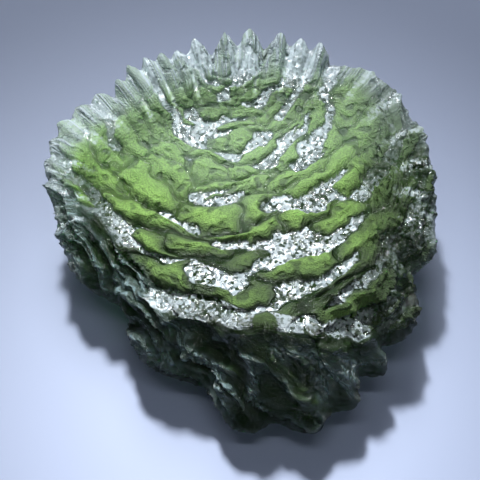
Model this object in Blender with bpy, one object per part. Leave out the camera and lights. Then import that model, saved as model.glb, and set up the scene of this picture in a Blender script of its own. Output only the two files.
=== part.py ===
"""A moldavite: one natural piece of green glass, thick at the front and thin at the toothed back rim.

Its upper face is a shallow bowl covered with curved bars of glass, between which lie level floors. A ledge
parts it from the steep front with its round folds, which twisted cords edge at the left, and the pitted belly
is worn to a small flat spot on which the stone rests. Metres, +Z up, the front at -Y.
"""

import math

import bmesh
import bpy
import numpy as np

# Plan outline of the rim without its teeth: azimuth in degrees from +X, radius from the pole axis
RIM_OUTLINE = (
    (0, 0.0181), (8, 0.0188), (20, 0.0201), (38, 0.0219), (60, 0.0221), (68, 0.0204),
    (80, 0.0193), (95, 0.0184), (112, 0.0187), (125, 0.0192), (138, 0.0202), (150, 0.0203),
    (160, 0.0191), (176, 0.0168), (188, 0.0148), (198, 0.0121), (210, 0.0121), (225, 0.0131),
    (249, 0.0124), (258, 0.0127), (267, 0.0160), (274, 0.0167), (281, 0.0160), (292, 0.0181),
    (300, 0.0170), (306, 0.0179), (315, 0.0158), (321, 0.0174), (326, 0.0155), (333, 0.0171),
    (349, 0.0171), (355, 0.0165),
)

# Section of the stone. Each ring has its angle from the top pole and then, for eight directions from +X
# round to the front right, its share of the rim's radius and its height above the resting plane
RIM_ANGLE = 110.0
TOP_POLE_HEIGHT = 0.0120
BOTTOM_POLE_HEIGHT = -0.0006
BELLY_SHIFT = (0.0013, 0.0014)
RINGS = (
    (43.0, ((0.45, 0.0122), (0.45, 0.0120), (0.45, 0.0115), (0.45, 0.0117),
            (0.45, 0.0118), (0.45, 0.0126), (0.40, 0.0133), (0.43, 0.0129))),
    (72.0, ((0.72, 0.0118), (0.72, 0.0121), (0.74, 0.0122), (0.74, 0.0115),
            (0.74, 0.0106), (0.70, 0.0116), (0.64, 0.0131), (0.68, 0.0123))),
    (97.0, ((0.93, 0.0098), (0.93, 0.0123), (0.93, 0.0141), (0.93, 0.0125),
            (0.93, 0.0088), (0.92, 0.0082), (0.87, 0.0083), (0.89, 0.0085))),
    (RIM_ANGLE, ((1.0, 0.0074), (1.0, 0.0110), (1.0, 0.0146), (1.0, 0.0119),
                 (1.0, 0.0066), (1.0, 0.0044), (1.0, 0.0037), (1.0, 0.0047))),
    (118.0, ((0.94, 0.0052), (0.94, 0.0086), (0.93, 0.0118), (0.94, 0.0091),
             (0.94, 0.0044), (0.93, 0.0026), (0.93, 0.0021), (0.93, 0.0027))),
    (139.0, ((0.64, 0.0018), (0.64, 0.0032), (0.64, 0.0047), (0.64, 0.0034),
             (0.66, 0.0016), (0.70, 0.0010), (0.62, 0.0007), (0.62, 0.0009))),
    (158.0, ((0.34, 0.0001), (0.34, 0.0005), (0.34, 0.0008), (0.34, 0.0005),
             (0.36, 0.0001), (0.40, 0.0000), (0.34, 0.0000), (0.34, 0.0000))),
)

# The broad face slopes to the front. Its own plane gives two coordinates: across, and up the slope
FACE_SLOPE = math.radians(55.0)
FACE_MIDDLE_HEIGHT = 0.00655

# Teeth of the back rim: azimuth, length, half width at the root, lean to the left, bluntness of the flanks
TEETH = (
    (69.0, 0.0018, 0.0012, 0.1, 0.45), (74.2, 0.0020, 0.0012, 0.1, 0.50),
    (79.5, 0.0021, 0.0012, 0.1, 0.45), (87.3, 0.0024, 0.0014, 0.0, 0.50),
    (94.4, 0.0023, 0.0013, 0.0, 0.45), (102.4, 0.0024, 0.0013, -0.1, 0.70),
    (107.8, 0.0016, 0.0012, -0.2, 0.60), (112.4, 0.0016, 0.0012, -0.2, 0.50),
    (116.3, 0.0021, 0.0011, -0.2, 0.60), (121.0, 0.0019, 0.0011, -0.3, 0.60),
    (125.5, 0.0012, 0.0010, -0.3, 0.60),
)
TOOTH_RISE = 0.85
RIB_HEIGHT = 0.0008

# Round nodules of the back left rim: azimuth, length, radius
NODULES = (
    (132.3, 0.0014, 0.0011), (138.0, 0.0015, 0.0012), (144.0, 0.0016, 0.0012),
    (149.0, 0.0016, 0.0011), (154.5, 0.0012, 0.0011), (160.0, 0.0009, 0.0011),
)
NODULE_RISE = 0.5
NODULE_FLANK = 0.45

# Curved bars of the upper face, which run round a point near the back rim
BAR_CENTRE = (-0.0014, 0.0176)
BAR_LENGTH = 0.0060
BAR_WIDTH = 0.0011
BAR_HEIGHT = 0.00105
BAR_WANDER = 0.0009
BAR_SPREAD = 0.034
END_WANDER = 0.0007

# How far cells stray from even rows, along and across, as a share of their size
CELL_STRAY = (0.44, 0.30)

# Gaps between the bars open to level floors in long strips: length and width of a strip, and the widest gap
# as a share of a bar's width
STRIP_LENGTH = 0.0050
STRIP_WIDTH = 0.0011
WIDEST_GAP = 0.56

# The ledge between the upper face and the front, in face coordinates
LEDGE_UP = -0.0076
LEDGE_FALL = 0.17
LEDGE_BEND = 10.5
LEDGE_WAVE = 0.0004
LEDGE_WIDTH = 0.0016
LEDGE_DEPTH = 0.0009

# Where one region passes into the next: below the ledge, across the fall, across and up the face
FRONT_BORDER = (-0.0012, 0.0006)
WALL_BORDER = (-0.0032, -0.0014)
LEFT_EDGE_BORDER = (-0.0100, -0.0086)
ROPE_BORDER = (-0.0064, -0.0050)
RIGHT_EDGE_BORDER = (0.0100, 0.0135)
BACK_EDGE_BORDER = (0.0095, 0.0130)
LEDGE_LEFT_END = (-0.0120, -0.0100)
LEDGE_RIGHT_END = (0.0110, 0.0140)
BORDER_STRAY = 0.0009
FLATTER_BARS = (0.0020, 0.0100)
LOWER_AT_RIGHT = 0.45

# Hollows: across, up, half length, half width, depth
HOLLOWS = (
    (-0.0048, -0.0088, 0.0024, 0.0011, 0.0010), (-0.0008, -0.0100, 0.0014, 0.0009, 0.0006),
    (-0.0150, 0.0035, 0.0022, 0.0010, 0.0007), (0.0085, -0.0092, 0.0020, 0.0010, 0.0006),
)

# Round folds of the front, which fall to the right: the grooves between them, measured across the fall
FALL = (0.75, 0.66)
GROOVES = (-0.0064, -0.0040, -0.0026, -0.0004, 0.0022, 0.0045, 0.0075, 0.0110, 0.0150)
FOLD_HEIGHT = 0.0011
FOLD_UNEVENNESS = 0.6

# Twisted cords of the front left edge, finer ones at the right, and how far they stray
CORD_LENGTH = 0.0070
CORD_WIDTH = 0.0010
CORD_HEIGHT = 0.0016
CORD_STRAY = 0.0014
FINE_CORD_LENGTH = 0.0049
FINE_CORD_WIDTH = 0.0010
FINE_CORD_HEIGHT = 0.0009

# Pits of the belly
PIT_WIDTH = 0.0034
PIT_DEPTH = 0.0011

# The mesh: edges along a side of the starting icosahedron, how far its points crowd to the teeth, and the
# share of the triangles that stays once flat areas are thinned
MESH_EDGES = 60
CROWDING = 0.32
CROWD_AZIMUTH = math.radians(98.0)
KEPT_SHARE = 0.13

GLASS_COLOUR = (0.17, 0.32, 0.08, 1.0)
GLASS_ROUGHNESS = 0.22
GLASS_IOR = 1.49
GLASS_TRANSMISSION = 0.85


def clear_scene():
    for item in list(bpy.data.objects):
        bpy.data.objects.remove(item)


def smooth(low, high, value):
    """0 below low, 1 above high, and an even S between them."""
    share = np.clip((value - low) / (high - low), 0.0, 1.0)
    return share * share * (3.0 - 2.0 * share)


def hermite(x, x0, x1, y0, y1, slope0, slope1):
    """Cubic from (x0, y0) to (x1, y1) with the given end slopes, read at x."""
    span = x1 - x0
    t = (x - x0) / span
    start = (1 + 2 * t) * (1 - t) ** 2 * y0 + t * (1 - t) ** 2 * span * slope0
    end = t * t * (3 - 2 * t) * y1 + t * t * (t - 1) * span * slope1
    return start + end


def round_curve(azimuth, knots):
    """A closed curve through (degrees, value) knots, read at azimuth in radians."""
    angles = np.radians([knot[0] for knot in knots])
    values = np.array([knot[1] for knot in knots])
    angles = np.concatenate([angles[-2:] - 2 * math.pi, angles, angles[:2] + 2 * math.pi])
    values = np.concatenate([values[-2:], values, values[:2]])
    slopes = np.gradient(values, angles)
    azimuth = np.mod(azimuth, 2 * math.pi)
    i = np.clip(np.searchsorted(angles, azimuth, side="right") - 1, 0, len(angles) - 2)
    return hermite(azimuth, angles[i], angles[i + 1], values[i], values[i + 1], slopes[i], slopes[i + 1])


def section_curve(polar, angles, values):
    """A smooth curve from pole to pole through values, which has one column for each point."""
    slopes = np.gradient(values, angles, axis=0)
    slopes[0] *= values[0] == 0.0
    slopes[-1] *= values[-1] == 0.0
    i = np.clip(np.searchsorted(angles, polar, side="right") - 1, 0, len(angles) - 2)
    each = np.arange(len(polar))
    ends = values[i, each], values[i + 1, each]
    return hermite(polar, angles[i], angles[i + 1], *ends, slopes[i, each], slopes[i + 1, each])


def lumps(points, size, seed):
    """Smooth noise from -1 to 1 whose lumps are about size across."""
    cells = 16
    table = np.random.default_rng(seed).uniform(-1.0, 1.0, (cells, cells, cells))
    scaled = points / size
    corner_cell = np.floor(scaled).astype(int)
    part = scaled - corner_cell
    part = part * part * (3.0 - 2.0 * part)
    total = np.zeros(len(points))
    for corner in np.ndindex(2, 2, 2):
        weight = np.prod(np.where(corner, part, 1.0 - part), axis=1)
        index = (corner_cell + corner) % cells
        total += weight * table[index[:, 0], index[:, 1], index[:, 2]]
    return total


def scattered_cells(along, across, seed):
    """Cells of size one laid like rough bricks.

    Returns the distance to the nearest centre and to the next one, a number from 0 to 1 for the cell, and
    how far across from its centre the point lies.
    """
    count = 64
    rng = np.random.default_rng(seed)
    jitter = rng.uniform(-1.0, 1.0, (count, count, 2)) * CELL_STRAY
    numbers = rng.uniform(0.0, 1.0, (count, count))
    column = np.floor(along).astype(int)
    row = np.floor(across).astype(int)
    nearest = np.full(len(along), 9.0)
    second = np.full(len(along), 9.0)
    number = np.zeros(len(along))
    offset = np.zeros(len(along))
    for step_along in range(-2, 2):
        for step_across in range(-1, 2):
            i, j = column + step_along, row + step_across
            shift = jitter[i % count, j % count]
            x = i + 0.5 + shift[:, 0] + 0.5 * (j % 2) - along
            y = j + 0.5 + shift[:, 1] - across
            distance = np.cbrt(np.abs(x) ** 3 + np.abs(y) ** 3)
            closer = distance < nearest
            second = np.where(closer, nearest, np.minimum(second, distance))
            number = np.where(closer, numbers[i % count, j % count], number)
            offset = np.where(closer, -y, offset)
            nearest = np.where(closer, distance, nearest)
    return nearest, second, number, offset


def sphere_mesh():
    """Unit sphere of even triangles: its points and its faces."""
    mesh = bmesh.new()
    bmesh.ops.create_icosphere(mesh, subdivisions=1, radius=1.0)
    bmesh.ops.subdivide_edges(mesh, edges=mesh.edges[:], cuts=MESH_EDGES - 1, use_grid_fill=True)
    bmesh.ops.triangulate(mesh, faces=mesh.faces[:])
    points = np.array([vertex.co[:] for vertex in mesh.verts])
    faces = np.array([[vertex.index for vertex in face.verts] for face in mesh.faces])
    mesh.free()
    return points / np.linalg.norm(points, axis=1, keepdims=True), faces


def direction(polar, azimuth):
    return np.array(
        [math.sin(polar) * math.cos(azimuth), math.sin(polar) * math.sin(azimuth), math.cos(polar)]
    )


def crowd_to_teeth(points):
    """Moves the sphere's points towards the back rim, and puts one on the tip of each outgrowth."""
    polar = math.radians(RIM_ANGLE)
    moved = points + CROWDING * direction(polar, CROWD_AZIMUTH)
    moved /= np.linalg.norm(moved, axis=1, keepdims=True)
    for feature in TEETH + NODULES:
        tip = direction(polar, math.radians(feature[0]))
        moved[np.argmax(moved @ tip)] = tip
    return moved


def base_form(azimuth, polar):
    """The stone without its relief."""
    rim = round_curve(azimuth, RIM_OUTLINE)
    angles = [0.0]
    radii = [np.zeros_like(azimuth)]
    heights = [np.full_like(azimuth, TOP_POLE_HEIGHT)]
    for angle, sections in RINGS:
        shares = [(45.0 * k, section[0]) for k, section in enumerate(sections)]
        levels = [(45.0 * k, section[1]) for k, section in enumerate(sections)]
        angles.append(angle)
        radii.append(round_curve(azimuth, shares) * rim)
        heights.append(round_curve(azimuth, levels))
    angles.append(180.0)
    radii.append(np.zeros_like(azimuth))
    heights.append(np.full_like(azimuth, BOTTOM_POLE_HEIGHT))
    radius = section_curve(polar, np.array(angles), np.array(radii))
    height = section_curve(polar, np.array(angles), np.array(heights))
    form = np.stack([radius * np.cos(azimuth), radius * np.sin(azimuth), height], axis=1)
    form[:, :2] += np.array(BELLY_SHIFT) * smooth(RIM_ANGLE, 155.0, polar)[:, None]
    return form


def normals_of(points, faces):
    a, b, c = (points[faces[:, k]] for k in range(3))
    face_normals = np.cross(b - a, c - a)
    normals = np.zeros_like(points)
    for k in range(3):
        np.add.at(normals, faces[:, k], face_normals)
    return normals / np.linalg.norm(normals, axis=1, keepdims=True)


def face_coordinates(points):
    """Across the broad face, and up its slope from the face's middle."""
    up = points[:, 1] * math.sin(FACE_SLOPE) + points[:, 2] * math.cos(FACE_SLOPE)
    return points[:, 0], up - FACE_MIDDLE_HEIGHT


def ledge_line(across):
    middle = LEDGE_UP - LEDGE_FALL * across + LEDGE_BEND * across**2
    return middle + LEDGE_WAVE * np.sin(across / 0.0031 + 0.6)


def shelf(above_ledge):
    """A step along the ledge: hollow above its line, and standing out below it."""
    share = above_ledge / LEDGE_WIDTH
    return (0.15 - 1.3 * share) * np.exp(-(share**2))


def bars(across, up, points):
    """Height of the curved bars, from 0 in the gaps between them to 1."""
    x, y = across - BAR_CENTRE[0], up - BAR_CENTRE[1]
    wander = BAR_WANDER * lumps(points, 0.0042, 11) + 0.45 * BAR_WANDER * lumps(points, 0.0017, 13)
    radius = np.hypot(x, y) + wander
    arc = np.arctan2(x, -y) * (0.45 * radius + 0.0085) + 0.0014 * lumps(points, 0.0040, 12)
    arc += END_WANDER * lumps(points, 0.0014, 15)
    # The bars grow wider to the front
    row = radius / (BAR_WIDTH * (0.65 + radius / BAR_SPREAD))
    nearest, second, number, offset = scattered_cells(arc / BAR_LENGTH + 20.0, row, 7)
    inside = second - nearest
    strip = np.stack([arc / STRIP_LENGTH, radius / STRIP_WIDTH, np.zeros_like(arc)], axis=1)
    gap = WIDEST_GAP * smooth(0.08, 0.60, lumps(strip, 1.0, 17))
    body = np.clip((inside - gap) / 0.75, 0.0, 1.0) ** 0.6
    # Each bar is round across, and its front edge stands higher than its back
    crown = 1.0 - 0.35 * nearest**2 - 0.9 * np.clip(offset - 0.18, 0.0, 1.0) ** 2 + 0.4 * offset
    return body * crown * (0.6 + 0.4 * number)


def cords(along, across, length, width, seed):
    """Branching cords with a sharp crest, from 0 to 1."""
    level = np.zeros_like(along)
    stray = CORD_STRAY * lumps(np.stack([along, across, level], axis=1), 0.0045, seed)
    cell = np.stack([along / length, (across + stray) / width, level + 0.5], axis=1)
    coarse = 1.0 - np.abs(lumps(cell, 1.0, seed + 1))
    fine = 1.0 - np.abs(lumps(cell * 2.1 + 5.0, 1.0, seed + 2))
    return 0.7 * coarse**3 + 0.3 * fine**3


def folds(fall_across):
    """0 in the grooves between the folds and 1 on the back of each."""
    grooves = np.array(GROOVES)
    i = np.clip(np.searchsorted(grooves, fall_across, side="right") - 1, 0, len(grooves) - 2)
    share = np.clip((fall_across - grooves[i]) / (grooves[i + 1] - grooves[i]), 0.0, 1.0)
    return (4.0 * share * (1.0 - share)) ** 0.6


def turn_from(azimuth, place):
    """Signed angle in radians from a place in degrees."""
    return np.mod(azimuth - math.radians(place) + math.pi, 2 * math.pi) - math.pi


def ribs(form, azimuth, polar):
    """Ribs that run in from the teeth over the back wall."""
    radius = np.hypot(form[:, 0], form[:, 1])
    stray = 0.0006 * lumps(form, 0.0030, 61)
    crest = np.zeros(len(form))
    for place, _, half_width, _, _ in TEETH:
        sideways = turn_from(azimuth, place) * radius + stray
        crest = np.maximum(crest, np.exp(-((sideways / (0.8 * half_width)) ** 2)))
    inward = smooth(RIM_ANGLE - 30.0, RIM_ANGLE - 8.0, polar)
    inward = inward * (1.0 - smooth(RIM_ANGLE + 6.0, RIM_ANGLE + 22.0, polar))
    degrees = np.degrees(azimuth)
    beside = smooth(62.0, 68.0, degrees) * (1.0 - smooth(124.0, 130.0, degrees))
    return (crest - 0.35) * inward * beside


def relief(form, azimuth, polar):
    """How far each point of the form moves out along its normal."""
    across, up = face_coordinates(form)
    stray = BORDER_STRAY * (lumps(form, 0.0040, 71) + 0.33 * lumps(form, 0.0015, 72))
    fall_across = across * FALL[0] + up * FALL[1] + stray
    fall_along = across * FALL[1] - up * FALL[0]
    above_ledge = up - ledge_line(across) + 0.5 * stray

    # Shares of the regions at each point
    upper = 1.0 - smooth(RIM_ANGLE - 6.0, RIM_ANGLE + 4.0, polar)
    belly = smooth(RIM_ANGLE + 2.0, RIM_ANGLE + 14.0, polar) * smooth(0.0003, 0.0020, form[:, 2])
    front = 1.0 - smooth(*FRONT_BORDER, above_ledge)
    wall = 1.0 - smooth(*WALL_BORDER, above_ledge)
    left_edge = 1.0 - smooth(*LEFT_EDGE_BORDER, fall_across)
    right_edge = smooth(*RIGHT_EDGE_BORDER, across + stray) * (1.0 - 0.6 * front)
    back_edge = 0.5 * smooth(*BACK_EDGE_BORDER, up)
    face = (1.0 - front) * (1.0 - left_edge) * (1.0 - LOWER_AT_RIGHT * right_edge) * (1.0 - back_edge)

    flatter = 1.0 - 0.4 * smooth(*FLATTER_BARS, up)
    height = BAR_HEIGHT * flatter * (bars(across, up, form) - 0.45) * upper * face
    beside = smooth(*LEDGE_LEFT_END, across) * (1.0 - smooth(*LEDGE_RIGHT_END, across))
    height += LEDGE_DEPTH * shelf(above_ledge) * upper * beside
    roped = np.maximum(left_edge, wall * (1.0 - smooth(*ROPE_BORDER, fall_across)))
    uneven = 0.75 + FOLD_UNEVENNESS * lumps(form, 0.0050, 75)
    height += FOLD_HEIGHT * (folds(fall_across) - 0.6) * uneven * upper * wall * (1.0 - roped)
    coarse_cords = cords(fall_along, fall_across, CORD_LENGTH, CORD_WIDTH, 31)
    height += CORD_HEIGHT * (coarse_cords - 0.45) * upper * roped
    fine_cords = cords(fall_along, fall_across, FINE_CORD_LENGTH, FINE_CORD_WIDTH, 41)
    height += FINE_CORD_HEIGHT * (fine_cords - 0.45) * upper * right_edge
    height += RIB_HEIGHT * ribs(form, azimuth, polar)
    for place_across, place_up, half_length, half_width, depth in HOLLOWS:
        away = np.hypot((across - place_across) / half_length, (up - place_up) / half_width)
        height -= depth * (1.0 - smooth(0.55, 1.15, away)) * upper

    nearest = scattered_cells(form[:, 0] / PIT_WIDTH + 20.0, form[:, 1] / PIT_WIDTH + 20.0, 51)[0]
    height -= PIT_DEPTH * (np.clip(1.0 - (nearest / 0.75) ** 2, 0.0, 1.0) - 0.3) * belly
    return height


def outgrowth(form, azimuth, polar, place, length, half_width, lean, flank, rise):
    """Movement of the points near one tooth or nodule, along its own direction."""
    angle = math.radians(place)
    sideways = turn_from(azimuth, place) * np.hypot(form[:, 0], form[:, 1])
    # Near the rim a degree from pole to pole is about 0.16 mm of surface
    from_rim = (polar - RIM_ANGLE) * 0.00016
    distance = np.hypot(sideways / half_width, from_rim / (1.6 * half_width))
    share = np.clip(1.0 - distance, 0.0, 1.0) ** flank
    out = np.array([math.cos(angle), math.sin(angle), rise])
    left = np.array([-math.sin(angle), math.cos(angle), 0.0])
    way = out - lean * left
    return share[:, None] * length * way / np.linalg.norm(way)


def outgrowths(form, azimuth, polar):
    pull = np.zeros_like(form)
    for place, length, half_width, lean, flank in TEETH:
        grown = outgrowth(form, azimuth, polar, place, length, half_width, lean, flank, TOOTH_RISE)
        pull = np.where(np.abs(grown) > np.abs(pull), grown, pull)
    for place, length, radius in NODULES:
        grown = outgrowth(form, azimuth, polar, place, length, radius, 0.0, NODULE_FLANK, NODULE_RISE)
        pull = np.where(np.abs(grown) > np.abs(pull), grown, pull)
    return pull


def stone_points(sphere, faces):
    sphere = crowd_to_teeth(sphere)
    azimuth = np.arctan2(sphere[:, 1], sphere[:, 0])
    polar = np.degrees(np.arccos(np.clip(sphere[:, 2], -1.0, 1.0)))
    form = base_form(azimuth, polar)
    points = form + normals_of(form, faces) * relief(form, azimuth, polar)[:, None]
    points += outgrowths(form, azimuth, polar)
    middle = (points.min(axis=0) + points.max(axis=0)) / 2
    points[:, :2] -= middle[:2]
    return points


def thin_out(stone):
    """Takes triangles out where the surface is nearly flat, and keeps the result as the stone's own mesh."""
    thinning = stone.modifiers.new("thinning", "DECIMATE")
    thinning.ratio = KEPT_SHARE
    graph = bpy.context.evaluated_depsgraph_get()
    thinned = bpy.data.meshes.new_from_object(stone.evaluated_get(graph))
    stone.modifiers.remove(thinning)
    stone.data = thinned


def wear_flat(stone):
    """Cuts the belly level at the resting plane and closes the cut."""
    mesh = bmesh.new()
    mesh.from_mesh(stone.data)
    everything = mesh.verts[:] + mesh.edges[:] + mesh.faces[:]
    bmesh.ops.bisect_plane(
        mesh, geom=everything, dist=1e-7, plane_co=(0, 0, 0), plane_no=(0, 0, -1), clear_outer=True
    )
    opening = [edge for edge in mesh.edges if edge.is_boundary]
    bmesh.ops.triangle_fill(mesh, use_beauty=True, use_dissolve=False, edges=opening)
    bmesh.ops.recalc_face_normals(mesh, faces=mesh.faces[:])
    bmesh.ops.triangulate(mesh, faces=mesh.faces[:])
    mesh.to_mesh(stone.data)
    mesh.free()


def green_glass():
    material = bpy.data.materials.new("green_glass")
    material.use_nodes = True
    shader = material.node_tree.nodes["Principled BSDF"]
    shader.inputs["Base Color"].default_value = GLASS_COLOUR
    shader.inputs["Roughness"].default_value = GLASS_ROUGHNESS
    shader.inputs["Metallic"].default_value = 0.0
    shader.inputs["IOR"].default_value = GLASS_IOR
    shader.inputs["Transmission Weight"].default_value = GLASS_TRANSMISSION
    return material


def build_stone():
    sphere, faces = sphere_mesh()
    points = stone_points(sphere, faces)
    mesh = bpy.data.meshes.new("stone")
    mesh.from_pydata(points.tolist(), [], faces.tolist())
    stone = bpy.data.objects.new("stone", mesh)
    bpy.context.scene.collection.objects.link(stone)
    thin_out(stone)
    wear_flat(stone)
    stone.data.materials.append(green_glass())
    stone.data.shade_smooth()


clear_scene()
build_stone()
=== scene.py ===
"""A moldavite of sculpted green glass, dressed over its plain solid. All sizes are in metres."""

import math

import bmesh
import bpy
import numpy as np
from bpy.props import FloatProperty, FloatVectorProperty, IntProperty, PointerProperty
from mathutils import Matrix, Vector


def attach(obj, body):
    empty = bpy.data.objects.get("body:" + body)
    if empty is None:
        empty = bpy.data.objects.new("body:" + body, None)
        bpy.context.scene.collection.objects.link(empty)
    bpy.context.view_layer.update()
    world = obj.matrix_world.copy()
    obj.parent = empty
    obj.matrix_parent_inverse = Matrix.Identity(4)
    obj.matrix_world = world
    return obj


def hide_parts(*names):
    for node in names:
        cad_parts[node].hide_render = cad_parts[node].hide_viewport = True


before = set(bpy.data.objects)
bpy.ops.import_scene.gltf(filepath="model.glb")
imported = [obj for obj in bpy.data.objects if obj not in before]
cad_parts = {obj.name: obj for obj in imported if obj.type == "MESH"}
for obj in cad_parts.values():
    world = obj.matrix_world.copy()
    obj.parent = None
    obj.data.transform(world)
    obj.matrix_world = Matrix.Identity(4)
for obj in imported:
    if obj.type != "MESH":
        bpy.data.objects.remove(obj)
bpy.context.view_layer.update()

bl_info = {
    "name": "Moldavite",
    "version": (1, 0, 0),
    "blender": (4, 5, 0),
    "location": "3D View > Sidebar > Moldavite",
    "description": "Makes a sculpted piece of natural green glass and a pale stage for it",
    "category": "Add Mesh",
}

# Plan outline of the rim without its teeth: azimuth in degrees from +X, radius from the pole axis
RIM_OUTLINE = (
    (0, 0.0181), (8, 0.0188), (20, 0.0201), (38, 0.0219), (60, 0.0221), (68, 0.0204),
    (80, 0.0193), (95, 0.0184), (112, 0.0187), (125, 0.0192), (138, 0.0202), (150, 0.0203),
    (160, 0.0191), (176, 0.0168), (188, 0.0148), (198, 0.0121), (210, 0.0121), (225, 0.0131),
    (249, 0.0124), (258, 0.0127), (267, 0.0160), (274, 0.0167), (281, 0.0160), (292, 0.0181),
    (300, 0.0170), (306, 0.0179), (315, 0.0158), (321, 0.0174), (326, 0.0155), (333, 0.0171),
    (349, 0.0171), (355, 0.0165),
)

# Section of the stone. Each ring has its angle from the top pole and then, for eight directions from +X
# round to the front right, its share of the rim's radius and its height above the resting plane
RIM_ANGLE = 110.0
DIRECTION_STEP = 45.0
TOP_POLE_HEIGHT = 0.0120
BOTTOM_POLE_HEIGHT = -0.0006
BELLY_SHIFT = (0.0013, 0.0014)
RINGS = (
    (43.0, ((0.45, 0.0122), (0.45, 0.0120), (0.45, 0.0115), (0.45, 0.0117),
            (0.45, 0.0118), (0.45, 0.0126), (0.40, 0.0133), (0.43, 0.0129))),
    (72.0, ((0.72, 0.0118), (0.72, 0.0121), (0.74, 0.0122), (0.74, 0.0115),
            (0.74, 0.0106), (0.70, 0.0116), (0.64, 0.0131), (0.68, 0.0123))),
    (97.0, ((0.93, 0.0098), (0.93, 0.0123), (0.93, 0.0141), (0.93, 0.0125),
            (0.93, 0.0088), (0.92, 0.0082), (0.87, 0.0083), (0.89, 0.0085))),
    (RIM_ANGLE, ((1.0, 0.0074), (1.0, 0.0110), (1.0, 0.0146), (1.0, 0.0119),
                 (1.0, 0.0066), (1.0, 0.0044), (1.0, 0.0037), (1.0, 0.0047))),
    (118.0, ((0.94, 0.0052), (0.94, 0.0086), (0.93, 0.0118), (0.94, 0.0091),
             (0.94, 0.0044), (0.93, 0.0026), (0.93, 0.0021), (0.93, 0.0027))),
    (139.0, ((0.64, 0.0018), (0.64, 0.0032), (0.64, 0.0047), (0.64, 0.0034),
             (0.66, 0.0016), (0.70, 0.0010), (0.62, 0.0007), (0.62, 0.0009))),
    (158.0, ((0.34, 0.0001), (0.34, 0.0005), (0.34, 0.0008), (0.34, 0.0005),
             (0.36, 0.0001), (0.40, 0.0000), (0.34, 0.0000), (0.34, 0.0000))),
)

# The broad face slopes to the front. Its own plane gives two coordinates: across, and up the slope
FACE_SLOPE = math.radians(55.0)
FACE_MIDDLE_HEIGHT = 0.00655

# Teeth of the back rim: azimuth, length, half width at the root, lean to the left, bluntness of the flanks
TEETH = (
    (69.0, 0.0018, 0.0012, 0.1, 0.45), (74.2, 0.0020, 0.0012, 0.1, 0.50),
    (79.5, 0.0021, 0.0012, 0.1, 0.45), (87.3, 0.0024, 0.0014, 0.0, 0.50),
    (94.4, 0.0023, 0.0013, 0.0, 0.45), (102.4, 0.0024, 0.0013, -0.1, 0.70),
    (107.8, 0.0016, 0.0012, -0.2, 0.60), (112.4, 0.0016, 0.0012, -0.2, 0.50),
    (116.3, 0.0021, 0.0011, -0.2, 0.60), (121.0, 0.0019, 0.0011, -0.3, 0.60),
    (125.5, 0.0012, 0.0010, -0.3, 0.60),
)
TOOTH_RISE = 0.85

# A tooth's root is this many times as deep as it is wide, and near the rim one degree from pole to pole is
# this much surface
ROOT_DEPTH = 1.6
SURFACE_PER_DEGREE = 0.00016

# Round nodules of the back left rim: azimuth, length, radius
NODULES = (
    (132.3, 0.0014, 0.0011), (138.0, 0.0015, 0.0012), (144.0, 0.0016, 0.0012),
    (149.0, 0.0016, 0.0011), (154.5, 0.0012, 0.0011), (160.0, 0.0009, 0.0011),
)
NODULE_RISE = 0.5
NODULE_FLANK = 0.45

# Bands round the stone, in degrees from the top pole. Each pair is where a change begins and where it ends
UPPER_END = (RIM_ANGLE - 6.0, RIM_ANGLE + 4.0)
BELLY_BAND = (RIM_ANGLE + 2.0, RIM_ANGLE + 14.0)
BELLY_SHIFT_BAND = (RIM_ANGLE, 155.0)
BACK_WALL_BAND = (RIM_ANGLE - 38.0, RIM_ANGLE - 22.0)
THIN_BAND = (RIM_ANGLE - 24.0, RIM_ANGLE - 4.0)
THIN_EDGE_BAND = (RIM_ANGLE - 8.0, RIM_ANGLE - 2.0)

# Ribs run from the teeth over the back wall. Their ends are in degrees from the top pole and in azimuth
RIB_HEIGHT = 0.0008
RIB_STRAY = 0.0006
RIB_LUMPS = (0.0030, 61)
RIB_WIDTH_SHARE = 0.8
RIB_EVEN_SHARE = 0.35
RIB_TOP_END = (RIM_ANGLE - 30.0, RIM_ANGLE - 8.0)
RIB_LOW_END = (RIM_ANGLE + 6.0, RIM_ANGLE + 22.0)
RIB_RIGHT_END = (62.0, 68.0)
RIB_LEFT_END = (124.0, 130.0)

# Curved bars of the upper face, which run round a point near the back rim. Lumps that make rows and ends
# wander have a share, a size and a seed. The rows begin narrow and widen with their distance from the point,
# and a turn round it counts as a length, by a share of that distance and a start
BAR_CENTRE = (-0.0014, 0.0176)
BAR_WANDER = 0.0009
ROW_LUMPS = ((1.0, 0.0042, 11), (0.45, 0.0017, 13), (0.25, 0.0008, 14))
END_WANDER = 0.0007
END_LUMPS = ((2.0, 0.0040, 12), (1.0, 0.0014, 15))
BAR_SPREAD = 0.034
NARROWEST_ROW = 0.65
ARC_SHARE = 0.45
ARC_START = 0.0085
BAR_SEED = 7

# Form of a bar: its flanks, how round it is across, where and how far its front edge drops, how far that edge
# stands higher, and the height of the lowest bar
BAR_FLANK = 0.75
BAR_FULLNESS = 0.6
BAR_ROUNDNESS = 0.35
FRONT_EDGE = 0.18
FRONT_DROP = 0.9
FRONT_LIFT = 0.4
LOWEST_BAR = 0.6

# How far cells stray from even rows, along and across, as a share of their size, and where they start
CELL_STRAY = (0.44, 0.30)
CELL_START = 20.0

# Gaps between the bars open to level floors in long strips: length and width of a strip, and the widest gap
# as a share of a bar's width
STRIP_LENGTH = 0.0050
STRIP_WIDTH = 0.0011
STRIP_SEED = 17
STRIP_OPENING = (0.08, 0.60)
WIDEST_GAP = 0.56
BARE_GAP = (0.12, 0.22)
BARE_EDGE = (0.0, 0.08)

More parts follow.
